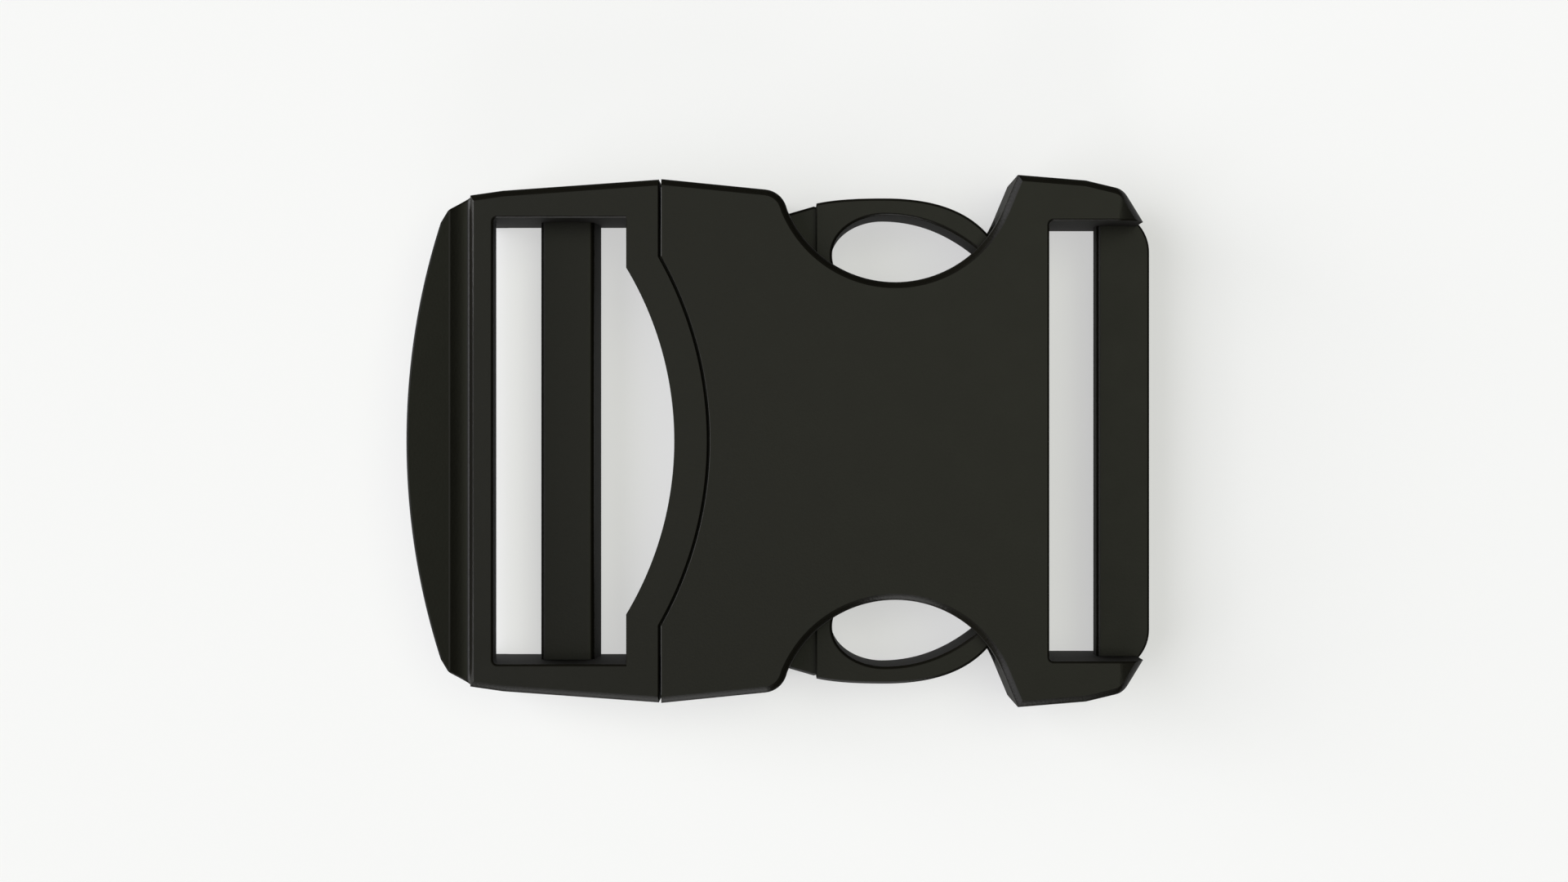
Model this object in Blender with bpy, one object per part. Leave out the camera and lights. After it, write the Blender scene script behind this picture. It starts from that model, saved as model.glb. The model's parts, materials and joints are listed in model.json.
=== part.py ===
"""Side-release buckle with a ladder-lock plug, for 50 mm webbing.

The buckle lies flat and closed. +X runs from the plug's lift tab to the socket's strap bar, +Y is
the left side, and z = 0 is the underside. The origin is the middle of the box's bottom.
"""

import math

import bmesh
import bpy
from mathutils import Matrix

MM = 0.001

# ---- Driving sizes, in millimetres ----------------------------------------------------------

# What the whole buckle is built round
webbing_width = 50.0
plug_slot_clearance = 1.0
socket_slot_clearance = 0.6
rail_width = 4.5
part_gap = 0.3
seam_gap = 0.35
rim_round = 0.7

# Plug: lengths from the seam towards the lift tab
front_bar_width = 3.4
wide_slot_length = 4.3
ladder_bar_width = 6.6
narrow_slot_length = 5.35
outer_bar_width = 2.3
lift_tab_length = 7.2

# Plug: the curved front bar, and how far the sides draw in
seam_arc_half = 21.2
seam_bulge = 5.7
slot_arc_half = 20.2
slot_bulge = 5.4
plug_side_taper = 1.3
plug_corner_taper = 0.55
side_turn_length = 1.1

# Plug: heights
plug_height = 12.5
outer_bar_lip = 3.2
outer_bar_underside = 4.5
outer_bar_undercut = 1.3
ladder_bar_top = 6.9
ladder_bar_underside = 1.5
ladder_bar_lean = 0.6
tab_tip_top = 13.6
tab_crease_top = 11.9
tab_thickness = 2.2
tab_root_underside = 8.0
groove_width = 2.55
groove_depth = 0.8
tab_arc_radius = 88.0
tab_corner_length = 2.6
tab_corner_taper = 1.7

# Socket: lengths from the seam towards the strap bar
socket_height = 13.0
plate_thickness = 2.3
collar_wall = 5.0
collar_length = 13.7
collar_taper = 1.4
nose_length = 1.0
nose_round = 2.8
thumb_cut_radius = 13.6
thumb_cut_sweep = 134.5
thumb_cut_outside = 1.6
rear_corner_length = 4.5
rear_length = 5.35
rear_wall_thickness = 2.5
shoulder_length = 4.3
shoulder_drop = 0.65
strap_slot_length = 6.35
strap_bar_width = 6.4
strap_bar_height = 6.8
strap_bar_undercut = 0.9
end_taper = 1.2
end_round = 5.0
end_slope_length = 4.8
end_slope_drop = 6.0

# Guide tongue, and the two ribs that it runs between
tongue_width = 6.8
tongue_height = 4.6
tongue_tip_length = 3.0
tongue_tip_taper = 1.6
tongue_tip_clearance = 4.6
rib_thickness = 1.5
rib_clearance = 0.4
rib_from_collar = 2.8

# Latch arms and thumb loops
arm_thickness = 3.4
arm_height = 6.4
latch_reach = 1.4
arm_head_length = 3.8
arm_head_flare = 1.1
arm_heel = 0.7
loop_wall = 2.0
loop_tip_clearance = 2.75
loop_crest_length = 8.0
loop_crest_outside = 3.0
loop_depth = 13.4
loop_tip_drop = 6.7

CURVE_STEPS = 24

# ---- Places worked out from them ------------------------------------------------------------

plug_slot_half = webbing_width / 2 + plug_slot_clearance
socket_slot_half = webbing_width / 2 + socket_slot_clearance
half_width = plug_slot_half + rail_width

outer_bar_from_seam = front_bar_width + wide_slot_length + ladder_bar_width + narrow_slot_length
plug_length = outer_bar_from_seam + outer_bar_width + lift_tab_length
thumb_cut_half = thumb_cut_radius * math.sin(math.radians(thumb_cut_sweep / 2))
thumb_cut_from_seam = collar_length + nose_length + thumb_cut_half
strap_slot_from_seam = thumb_cut_from_seam + thumb_cut_half + rear_length
socket_length = strap_slot_from_seam + strap_slot_length + strap_bar_width
plug_face = (plug_length - socket_length - seam_gap) / 2
socket_face = plug_face + seam_gap

plug_slot_end = plug_face - front_bar_width
ladder_right = plug_slot_end - wide_slot_length
ladder_left = ladder_right - ladder_bar_width
outer_bar_right = plug_face - outer_bar_from_seam
outer_bar_left = outer_bar_right - outer_bar_width
tab_tip = outer_bar_left - lift_tab_length
plug_corner_half = half_width - plug_side_taper - plug_corner_taper

collar_end = socket_face + collar_length
thumb_x = socket_face + thumb_cut_from_seam
thumb_y = half_width + thumb_cut_outside
slot_left = socket_face + strap_slot_from_seam
strap_bar_left = slot_left + strap_slot_length
socket_end = strap_bar_left + strap_bar_width
cavity_half = half_width - collar_wall
cavity_top = socket_height - plate_thickness
cavity_rear = slot_left - rear_wall_thickness
middle_height = socket_height / 2

arm_outer = cavity_half - part_gap
arm_y = arm_outer - arm_thickness / 2
hinge_x = plug_face + part_gap + arm_thickness / 2
arm_end = collar_end + part_gap + arm_head_length
loop_left = arm_end + part_gap
loop_low = plate_thickness + part_gap
loop_high = cavity_top - part_gap
loop_crest_y = cavity_half + loop_crest_outside
loop_tip = cavity_rear - loop_tip_clearance
tongue_left = plug_face + seam_bulge + part_gap
tongue_tip = cavity_rear - tongue_tip_clearance


# ---- Outlines -------------------------------------------------------------------------------


def arc(centre, radius, start, stop, steps=CURVE_STEPS):
    """Points on a circle, from the angle start to the angle stop, in degrees."""
    points = []
    for step in range(steps + 1):
        angle = math.radians(start + (stop - start) * step / steps)
        points.append((centre[0] + radius * math.cos(angle), centre[1] + radius * math.sin(angle)))
    return points


def bulge(x, half, rise):
    """A shallow arc from (x, half) to (x, -half) that swells towards +X by rise."""
    radius = (rise * rise + half * half) / (2 * rise)
    spread = math.degrees(math.asin(half / radius))
    return arc((x + rise - radius, 0.0), radius, spread, -spread)


def bezier(start, pull_start, pull_stop, stop, steps=CURVE_STEPS // 2):
    """Points on a cubic Bezier curve, without the last one."""
    points = []
    for step in range(steps):
        t = step / steps
        weights = ((1 - t) ** 3, 3 * t * (1 - t) ** 2, 3 * t * t * (1 - t), t**3)
        corners = (start, pull_start, pull_stop, stop)
        x = sum(weight * corner[0] for weight, corner in zip(weights, corners))
        y = sum(weight * corner[1] for weight, corner in zip(weights, corners))
        points.append((x, y))
    return points


def rounded(corners, steps=5):
    """A closed outline through (x, y, radius) corners, each drawn as an arc of its radius."""
    points = []
    for index, (x, y, radius) in enumerate(corners):
        if radius <= 0:
            points.append((x, y))
            continue
        before = corners[index - 1]
        after = corners[(index + 1) % len(corners)]
        to_before = math.atan2(before[1] - y, before[0] - x)
        to_after = math.atan2(after[1] - y, after[0] - x)
        opening = (to_after - to_before + math.pi) % (2 * math.pi) - math.pi
        reach = radius / math.tan(abs(opening) / 2)
        away = radius / math.sin(abs(opening) / 2)
        middle = to_before + opening / 2
        centre = (x + away * math.cos(middle), y + away * math.sin(middle))
        first = (x + reach * math.cos(to_before), y + reach * math.sin(to_before))
        start = math.degrees(math.atan2(first[1] - centre[1], first[0] - centre[0]))
        turn = math.copysign(180.0 - math.degrees(abs(opening)), -opening)
        points += arc(centre, radius, start, start + turn, steps)
    return points


def sharp(points):
    """Outline points as corners without a radius."""
    return [(x, y, 0.0) for x, y in points]


def both_sides(corners):
    """Corners along the left side, followed by the same corners back along the right side."""
    return corners + [(x, -y, radius) for x, y, radius in reversed(corners)]


# ---- Solids ---------------------------------------------------------------------------------


def new_object(name, shape):
    """An object from a bmesh, linked to the scene and smooth across its rounded edges."""
    bmesh.ops.recalc_face_normals(shape, faces=shape.faces)
    mesh = bpy.data.meshes.new(name)
    shape.to_mesh(mesh)
    shape.free()
    mesh.shade_smooth()
    mesh.set_sharp_from_angle(angle=math.radians(30))
    made = bpy.data.objects.new(name, mesh)
    bpy.context.collection.objects.link(made)
    return made


def prism(name, outline, low, high, rim=0.0):
    """A solid with a plan outline between two heights, its top and bottom rims rounded by rim."""
    shape = bmesh.new()
    floor = shape.faces.new([shape.verts.new((x * MM, y * MM, low * MM)) for x, y in outline])
    extruded = bmesh.ops.extrude_face_region(shape, geom=[floor])
    raised = [item for item in extruded["geom"] if isinstance(item, bmesh.types.BMVert)]
    bmesh.ops.translate(shape, verts=raised, vec=(0.0, 0.0, (high - low) * MM))
    if rim:
        rims = [edge for edge in shape.edges if edge.verts[0].co.z == edge.verts[1].co.z]
        bmesh.ops.bevel(
            shape, geom=rims, offset=rim * MM, segments=2, profile=0.5, affect="EDGES"
        )
    return new_object(name, shape)


def bar(name, section, half_length):
    """A solid with an XZ section, running along Y to half_length on each side."""
    shape = bmesh.new()
    side = shape.faces.new(
        [shape.verts.new((x * MM, -half_length * MM, z * MM)) for x, z in section]
    )
    extruded = bmesh.ops.extrude_face_region(shape, geom=[side])
    moved = [item for item in extruded["geom"] if isinstance(item, bmesh.types.BMVert)]
    bmesh.ops.translate(shape, verts=moved, vec=(0.0, 2 * half_length * MM, 0.0))
    return new_object(name, shape)


def combine(piece, tool, operation):
    """Cut, trim or join a piece with another solid, which is then only a guide."""
    step = piece.modifiers.new(tool.name, "BOOLEAN")
    step.operation = operation
    step.solver = "EXACT"
    step.object = tool
    tool.hide_render = True
    tool.display_type = "WIRE"


def finish(piece, roughness):
    """Give a piece its own black plastic."""
    plastic = bpy.data.materials.new(piece.name + "_plastic")
    plastic.use_nodes = True
    shader = plastic.node_tree.nodes["Principled BSDF"]
    shader.inputs["Base Color"].default_value = (0.0262, 0.0273, 0.0212, 1.0)
    shader.inputs["Roughness"].default_value = roughness
    shader.inputs["Metallic"].default_value = 0.0
    piece.data.materials.append(plastic)


def pivot(name, x, y):
    """An empty at mid height, where a joint's axis passes."""
    made = bpy.data.objects.new(name, None)
    made.location = (x * MM, y * MM, middle_height * MM)
    bpy.context.collection.objects.link(made)
    return made


def hang(piece, joint):
    """Give a piece a joint's origin by parenting it to the joint's empty, without moving it."""
    piece.data.transform(Matrix.Translation(-joint.location))
    piece.parent = joint


# ---- Socket ---------------------------------------------------------------------------------


def socket_outline():
    """The socket's plan: curved mouth, collar, thumb cut-outs, shoulders and rounded end."""
    start = 270.0 - thumb_cut_sweep / 2
    cut_out = arc((thumb_x, thumb_y), thumb_cut_radius, start, start + thumb_cut_sweep)
    leaving = math.radians(start + thumb_cut_sweep)
    corner_x = cut_out[-1][0] - rear_corner_length * math.sin(leaving)
    corner_y = cut_out[-1][1] + rear_corner_length * math.cos(leaving)
    left_side = [(socket_face, half_width, 0.0)]
    left_side.append((collar_end + part_gap, half_width - collar_taper, nose_round))
    left_side += sharp(cut_out)
    left_side.append((corner_x, corner_y, 0.0))
    left_side.append((slot_left + shoulder_length, corner_y - shoulder_drop, 0.0))
    left_side.append((socket_end, half_width - end_taper, end_round))
    mouth = sharp(reversed(bulge(socket_face, seam_arc_half, seam_bulge)))
    return rounded(both_sides(left_side) + mouth)


def cavity_outline():
    """The hollow between the plates: the collar, both open sides, and the rear round the ribs."""
    rib_inner = tongue_width / 2 + rib_clearance
    rib_outer = rib_inner + rib_thickness
    rib_x = collar_end + rib_from_collar
    beyond = half_width + rim_round + 1.0
    rear_side_x = thumb_x + thumb_cut_half + rim_round
    left_side = [
        (socket_face - 1.0, cavity_half, 0.0),
        (collar_end, cavity_half, 0.0),
        (collar_end, beyond, 0.0),
        (rear_side_x, beyond, 0.0),
        (rear_side_x, cavity_half, 0.0),
        (cavity_rear, cavity_half, 1.2),
        (cavity_rear, rib_outer, 0.0),
        (rib_x, rib_outer, rib_thickness / 3),
        (rib_x, rib_inner, rib_thickness / 3),
        (cavity_rear, rib_inner, 0.0),
    ]
    return rounded(both_sides(left_side))


def make_socket_shell():
    """Two plates joined by the collar, the ribs and the rear wall, with a rail each side."""
    shell = prism("socket_shell", socket_outline(), 0.0, socket_height, rim_round)
    cavity = prism("cavity_cutter", cavity_outline(), plate_thickness, cavity_top)
    combine(shell, cavity, "DIFFERENCE")

    past_end = socket_end + 1.0
    slot = [
        (slot_left, socket_slot_half, 0.5),
        (past_end, socket_slot_half, 0.0),
    ]
    slot_cutter = prism("strap_slot_cutter", rounded(both_sides(slot)), -1.0, socket_height + 1.0)
    combine(shell, slot_cutter, "DIFFERENCE")

    slope_x = socket_end - end_slope_length
    drop_past_end = end_slope_drop * (1.0 + 1.0 / end_slope_length)
    slope = [
        (slope_x, socket_height),
        (past_end, socket_height - drop_past_end),
        (past_end, socket_height + 1.0),
        (slope_x, socket_height + 1.0),
    ]
    combine(shell, bar("end_slope_cutter", slope, half_width + 2.0), "DIFFERENCE")
    finish(shell, 0.45)


def make_strap_bar():
    """The fixed bar that the sewn end of the webbing loops round."""
    section = [
        (strap_bar_left + strap_bar_undercut, 0.0, 0.8),
        (strap_bar_left, strap_bar_height * 0.6, 0.8),
        (strap_bar_left, strap_bar_height, 0.8),
        (socket_end, strap_bar_height, 0.8),
        (socket_end, 0.0, 1.2),
    ]
    finish(bar("socket_strap_bar", rounded(section), socket_slot_half - part_gap), 0.45)


# ---- Plug -----------------------------------------------------------------------------------


def make_plug_frame(joint):
    """The ring of the plug: two rails, the curved front bar and the outer bar."""
    side_turn = outer_bar_right + side_turn_length
    left_side = [
        (plug_face, half_width, 0.0),
        (side_turn, half_width - plug_side_taper, 0.0),
        (outer_bar_left, plug_corner_half, 0.0),
    ]
    front = sharp(reversed(bulge(plug_face, seam_arc_half, seam_bulge)))
    outline = rounded(both_sides(left_side) + front)
    frame = prism("plug_frame", outline, 0.0, plug_height, rim_round)

    hole_side = [
        (plug_slot_end, plug_slot_half, 0.0),
        (outer_bar_right, plug_slot_half, 0.5),
    ]
    inner = sharp(reversed(bulge(plug_slot_end, slot_arc_half, slot_bulge)))
    hole = prism("plug_hole_cutter", rounded(both_sides(hole_side) + inner), -1.0, plug_height + 1.0)
    combine(frame, hole, "DIFFERENCE")

    lip = plug_height - outer_bar_lip
    undercut = [
        (outer_bar_right + 0.5, lip + 0.5),
        (outer_bar_right, lip),
        (outer_bar_right - outer_bar_undercut, outer_bar_underside),
        (outer_bar_left - 1.0, outer_bar_underside),
        (outer_bar_left - 1.0, -1.0),
        (outer_bar_right + 0.5, -1.0),
    ]
    combine(frame, bar("outer_bar_undercutter", undercut, plug_slot_half), "DIFFERENCE")
    finish(frame, 0.45)
    hang(frame, joint)


def make_lift_tab(joint):
    """The upturned tab that frees the webbing, with a finger groove along its root."""
    root = outer_bar_left - part_gap
    crease = outer_bar_left - groove_width
    root_top = plug_height - part_gap
    slope = (tab_tip_top - tab_crease_top) / (crease - tab_tip)
    section = bezier(
        (root, root_top),
        (root - groove_width * 0.2, root_top - groove_depth * 1.6),
        (crease + groove_width * 0.4, tab_crease_top - groove_depth * 1.2),
        (crease, tab_crease_top),
    )
    section += [
        (crease, tab_crease_top),
        (tab_tip, tab_tip_top),
        (tab_tip, tab_tip_top - tab_thickness * 0.7),
        (crease, tab_tip_top - tab_thickness - slope * (crease - tab_tip)),
        (root, tab_root_underside),
    ]
    tab = bar("plug_lift_tab", section, half_width)

    corner_x = outer_bar_left - tab_corner_length
    corner_y = plug_corner_half - tab_corner_taper
    sweep = math.degrees(math.asin((corner_y - 1.5) / tab_arc_radius))
    centre = (tab_tip + tab_arc_radius, 0.0)
    left_side = [
        (corner_x, corner_y, 1.0),
        (root, plug_corner_half - part_gap, 0.0),
        (root + 1.0, plug_corner_half - part_gap, 0.0),
    ]
    edge = sharp(arc(centre, tab_arc_radius, 180.0 + sweep, 180.0 - sweep))
    outline = rounded(both_sides(left_side) + edge)
    combine(tab, prism("lift_tab_trim", outline, 0.0, tab_tip_top + 1.0), "INTERSECT")
    finish(tab, 0.4)
    hang(tab, joint)


def make_ladder_bar(joint):
    """The low bar that the free end of the webbing passes over and grips on."""
    section = [
        (ladder_left, ladder_bar_underside, 0.8),
        (ladder_left, ladder_bar_top, 0.5),
        (ladder_right - ladder_bar_lean, ladder_bar_top, 0.5),
        (ladder_right, ladder_bar_underside, 0.8),
    ]
    made = bar("plug_ladder_bar", rounded(section), plug_slot_half - part_gap)
    finish(made, 0.4)
    hang(made, joint)


def make_guide_tongue(joint):
    """The centre tongue that keeps the plug straight between the socket's ribs."""
    half = tongue_width / 2
    side = [
        (tongue_left, half, 0.0),
        (tongue_tip - tongue_tip_length, half, 1.5),
        (tongue_tip, half - tongue_tip_taper, 0.8),
    ]
    low = middle_height - tongue_height / 2
    made = prism("plug_guide_tongue", rounded(both_sides(side)), low, low + tongue_height, 0.4)
    finish(made, 0.45)
    hang(made, joint)


# ---- Latch arms -----------------------------------------------------------------------------


def make_arm(side, sign, joint):
    """A springy arm: round at its root, with a shoulder that hooks behind the collar."""
    arm_inner = arm_outer - arm_thickness
    root = arc((hinge_x, arm_y), arm_thickness / 2, 270.0, 90.0, 12)
    latch_x = collar_end + part_gap
    outline = sharp(root)
    outline += [
        (latch_x, arm_outer, 0.0),
        (latch_x, arm_outer + latch_reach, 0.0),
        (arm_end, arm_outer + latch_reach + arm_head_flare, 0.0),
        (arm_end, arm_inner - arm_heel, 0.0),
        (latch_x - arm_thickness / 2, arm_inner, 2.0),
    ]
    points = [(x, y * sign) for x, y in rounded(outline)]
    low = middle_height - arm_height / 2
    made = prism(side + "_latch_arm", points, low, low + arm_height, 0.3)
    finish(made, 0.4)
    hang(made, joint)


def loop_outline(crest_x, bottom, tip_y):
    """The finger pad's outside: flat against the arm, drawn out to a tip at the other end."""
    top = loop_crest_y
    tip = loop_tip
    shoulder = top - 0.6
    heel = bottom + loop_depth / 3
    reach = crest_x - loop_left
    outline = bezier(
        (loop_left, shoulder),
        (loop_left + reach * 0.3, top - 0.06),
        (crest_x - reach * 0.3, top),
        (crest_x, top),
    )
    outline += bezier((crest_x, top), (crest_x + 6.0, top), (tip - 2.6, tip_y + 5.2), (tip, tip_y))
    outline += bezier(
        (tip, tip_y), (tip - 4.0, tip_y - 4.8), (crest_x + 5.5, bottom), (crest_x, bottom)
    )
    outline += bezier(
        (crest_x, bottom),
        (crest_x - reach * 0.5, bottom),
        (loop_left + reach * 0.2, bottom + (heel - bottom) * 0.4),
        (loop_left, heel),
    )
    outline.append((loop_left, heel))
    return outline


def opening_outline(crest_x, tip, bottom, tip_y):
    """The opening through the finger pad: a half oval on the left, a point on the right."""
    left = loop_left + loop_wall * 0.7
    top = loop_crest_y - loop_wall
    middle = (top + bottom) / 2
    reach = (crest_x - left) * 0.5
    rise = (top - bottom) * 0.3
    right = crest_x + 4.4
    outline = bezier((left, middle), (left, middle + rise), (left + reach, top), (crest_x, top))
    outline += bezier((crest_x, top), (right, top), (tip - 3.6, tip_y + 3.1), (tip, tip_y))
    outline += bezier((tip, tip_y), (tip - 3.6, tip_y - 3.3), (right, bottom), (crest_x, bottom))
    outline += bezier(
        (crest_x, bottom), (left + reach, bottom), (left, middle - rise), (left, middle)
    )
    return outline


def make_thumb_loop(side, sign, joint):
    """The finger pad at the arm's end: a loop with a pointed opening through it."""
    crest_x = loop_left + loop_crest_length
    bottom = loop_crest_y - loop_depth
    tip_y = loop_crest_y - loop_tip_drop
    outer = loop_outline(crest_x, bottom, tip_y)
    outer_points = [(x, y * sign) for x, y in outer]
    loop = prism(side + "_thumb_loop", outer_points, loop_low, loop_high, 0.4)
    hole = opening_outline(crest_x, loop_tip - loop_wall, bottom + loop_wall, tip_y)
    hole_points = [(x, y * sign) for x, y in hole]
    combine(loop, prism(side + "_loop_cutter", hole_points, 0.0, socket_height), "DIFFERENCE")
    finish(loop, 0.4)
    hang(loop, joint)


# ---- The buckle -----------------------------------------------------------------------------


def main():
    """Clear the scene and build the buckle, closed."""
    for old in list(bpy.data.objects):
        bpy.data.objects.remove(old)

    make_socket_shell()
    make_strap_bar()

    plug_joint = pivot("plug_slide_origin", plug_face, 0.0)
    make_plug_frame(plug_joint)
    make_lift_tab(plug_joint)
    make_ladder_bar(plug_joint)
    make_guide_tongue(plug_joint)

    for side, sign in (("left", 1.0), ("right", -1.0)):
        arm_joint = pivot(side + "_arm_hinge", hinge_x, arm_y * sign)
        make_arm(side, sign, arm_joint)
        make_thumb_loop(side, sign, arm_joint)


main()
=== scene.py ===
# %% [markdown]
# # A side-release buckle for 50 mm webbing
# The buckle is two black injection mouldings, snapped together: a plug with a ladder-lock for the
# free end of the strap, and a socket with a fixed bar for the sewn end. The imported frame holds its
# bodies and plain solids. This lesson builds the finished mouldings round them, one at a time.

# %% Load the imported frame
import json
import math

import bmesh
import bpy
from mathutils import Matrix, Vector

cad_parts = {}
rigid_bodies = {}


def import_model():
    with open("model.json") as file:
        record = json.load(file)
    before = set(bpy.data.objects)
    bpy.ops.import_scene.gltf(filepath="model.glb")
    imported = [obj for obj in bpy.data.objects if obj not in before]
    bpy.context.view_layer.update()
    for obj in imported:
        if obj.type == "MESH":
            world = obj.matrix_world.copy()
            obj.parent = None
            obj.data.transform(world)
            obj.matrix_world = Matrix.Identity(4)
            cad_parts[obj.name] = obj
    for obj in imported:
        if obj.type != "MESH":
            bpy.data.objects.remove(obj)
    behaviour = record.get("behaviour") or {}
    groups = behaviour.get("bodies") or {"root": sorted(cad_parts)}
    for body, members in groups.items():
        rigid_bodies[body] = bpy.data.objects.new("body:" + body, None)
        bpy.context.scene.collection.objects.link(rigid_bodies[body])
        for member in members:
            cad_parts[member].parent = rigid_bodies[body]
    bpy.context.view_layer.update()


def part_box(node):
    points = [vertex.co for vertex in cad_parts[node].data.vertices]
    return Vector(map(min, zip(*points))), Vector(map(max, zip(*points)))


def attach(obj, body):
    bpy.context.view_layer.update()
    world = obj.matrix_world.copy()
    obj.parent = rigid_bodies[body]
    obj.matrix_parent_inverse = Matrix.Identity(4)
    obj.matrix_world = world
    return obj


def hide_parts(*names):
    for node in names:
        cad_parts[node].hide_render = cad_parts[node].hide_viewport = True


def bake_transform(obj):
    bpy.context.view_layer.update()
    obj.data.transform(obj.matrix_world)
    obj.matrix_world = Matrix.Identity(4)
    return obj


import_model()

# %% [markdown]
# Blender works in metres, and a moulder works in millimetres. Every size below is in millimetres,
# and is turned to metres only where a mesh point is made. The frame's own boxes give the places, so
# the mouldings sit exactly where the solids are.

MM = 0.001


def span(node):
    """The lowest and highest corner of a frame solid, in millimetres."""
    low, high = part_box(node)
    return low / MM, high / MM


shell_low, shell_high = span("socket_shell")
strap_bar_low, strap_bar_high = span("socket_strap_bar")
ring_low, ring_high = span("plug_frame")
tab_low, tab_high = span("plug_lift_tab")
ladder_low, ladder_high = span("plug_ladder_bar")
tongue_low, tongue_high = span("plug_guide_tongue")
arm_low, arm_high = span("left_latch_arm")
loop_low, loop_high = span("left_thumb_loop")

# %% [markdown]
# The camera comes first. It hangs straight above
# the buckle with a 50 mm lens, close enough that tall parts lean outwards a little.

# %% Hang the camera above the buckle
CAMERA_HEIGHT = 266.0
CAMERA_ALONG = 0.1  # a touch towards the socket, which centres the buckle
LENS = 50.0
SENSOR_WIDTH = 36.0

camera_data = bpy.data.cameras.new("overhead_camera")
camera_data.lens = LENS
camera_data.sensor_width = SENSOR_WIDTH
camera = bpy.data.objects.new("overhead_camera", camera_data)
camera.location = (CAMERA_ALONG * MM, 0.0, CAMERA_HEIGHT * MM)
bpy.context.scene.collection.objects.link(camera)
bpy.context.scene.camera = camera
seen = CAMERA_HEIGHT * SENSOR_WIDTH / LENS
print("width seen on the floor in mm:", round(seen, 1))

# %% [markdown]
# Every part of a moulding starts as an outline, a list of points in plan. Three drawing aids make
# them: an arc, a Bezier curve, and a polygon whose corners are rounded to a radius. A real mould is
# milled with the same lines and arcs.

# %% Draw outlines
ARC_STEPS = 48


def arc(centre, radius, start, stop, steps=ARC_STEPS):
    """Points on a circle from one angle to another, in degrees."""
    angles = [math.radians(start + (stop - start) * step / steps) for step in range(steps + 1)]
    return [(centre[0] + radius * math.cos(a), centre[1] + radius * math.sin(a)) for a in angles]


def swelling(x, half, rise):
    """A shallow arc from (x, -half) to (x, half) that swells towards +X by rise."""
    radius = (rise * rise + half * half) / (2 * rise)
    spread = math.degrees(math.asin(half / radius))
    return arc((x + rise - radius, 0.0), radius, -spread, spread)


def bezier(start, pull_start, pull_stop, stop, steps=ARC_STEPS // 2):
    """Points on a cubic Bezier curve, without the last one."""
    points = []
    for step in range(steps):
        t = step / steps
        weights = ((1 - t) ** 3, 3 * t * (1 - t) ** 2, 3 * t * t * (1 - t), t**3)
        corners = (start, pull_start, pull_stop, stop)
        points.append(tuple(sum(w * c[axis] for w, c in zip(weights, corners)) for axis in (0, 1)))
    return points


print("points in an arc and in a curve:", ARC_STEPS + 1, ARC_STEPS // 2)

# %% Round the corners of an outline
CORNER_STEPS = 8


def rounded(corners):
    """A closed outline through (x, y, radius) corners, each drawn as an arc of its radius."""
    points = []
    for index, (x, y, radius) in enumerate(corners):
        if radius <= 0:
            points.append((x, y))
            continue
        here = Vector((x, y))
        to_before = (Vector(corners[index - 1][:2]) - here).normalized()
        to_after = (Vector(corners[(index + 1) % len(corners)][:2]) - here).normalized()
        half_angle = to_before.angle(to_after) / 2
        centre = here + (to_before + to_after).normalized() * radius / math.sin(half_angle)
        first = (here + to_before * radius / math.tan(half_angle) - centre).normalized()
        last = (here + to_after * radius / math.tan(half_angle) - centre).normalized()
        for step in range(CORNER_STEPS + 1):
            points.append(tuple(centre + first.slerp(last, step / CORNER_STEPS) * radius))
    return points


def sharp(points):
    """Points as corners without a radius."""
    return [(x, y, 0.0) for x, y in points]


def both_sides(corners):
    """Corners along the left side, then the same corners back along the right side."""
    return corners + [(x, -y, radius) for x, y, radius in reversed(corners)]


print("points in a rounded square:", len(rounded([(0, 0, 1), (9, 0, 1), (9, 9, 1), (0, 9, 1)])))

# %% [markdown]
# A moulding's rim is never sharp, because steel wears and plastic shrinks. A modifier could bevel
# the rims, but on a long curved outline it stumbles over the short edges. So the rim is lofted: the
# outline is repeated as rings, each moved inwards by a little more as it nears the flat.

# %% Move an outline inwards
SAME_LINE = 0.999  # the cosine above which two edges count as one smooth line


def inset(outline, amounts):
    """The outline moved inwards, edge by edge, by the amounts; outwards where one is negative."""
    count = len(outline)
    turning = sum(
        outline[i - 1][0] * outline[i][1] - outline[i][0] * outline[i - 1][1] for i in range(count)
    )
    inside = math.copysign(1.0, turning)
    # Where two edges meet at an angle, the point goes where both have moved by their own amount.
    moved = []
    for index, leaving_amount in enumerate(amounts):
        arriving_amount = amounts[index - 1]
        here = Vector(outline[index])
        arriving = (here - Vector(outline[index - 1])).normalized()
        leaving = (Vector(outline[(index + 1) % count]) - here).normalized()
        before = Vector((-arriving.y, arriving.x)) * inside
        after = Vector((-leaving.y, leaving.x)) * inside
        alike = before.dot(after)
        if alike > SAME_LINE:
            shift = (before + after) * (arriving_amount + leaving_amount) / 4
        else:
            shift = (before - after * alike) * arriving_amount
            shift = (shift + (after - before * alike) * leaving_amount) / (1 - alike * alike)
        moved.append(tuple(here + shift))
    return moved


square = [(0.0, 0.0), (9.0, 0.0), (9.0, 9.0), (0.0, 9.0)]
print("a 9 mm square moved in by 1 mm:", inset(square, [1.0] * len(square)))

# %% [markdown]
# The rim itself is a soft chamfer: three broad facets that barely turn, and two narrow ones that
# tuck it into the side wall. It starts with a faint crease, as the milled radius on the mould does.

# %% Step down over a rim
# Each facet has a tilt from the flat in degrees, and a share of the rim's length.
RIM_FACETS = ((26, 0.28), (31, 0.28), (36, 0.28), (50, 0.08), (70, 0.08))


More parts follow.
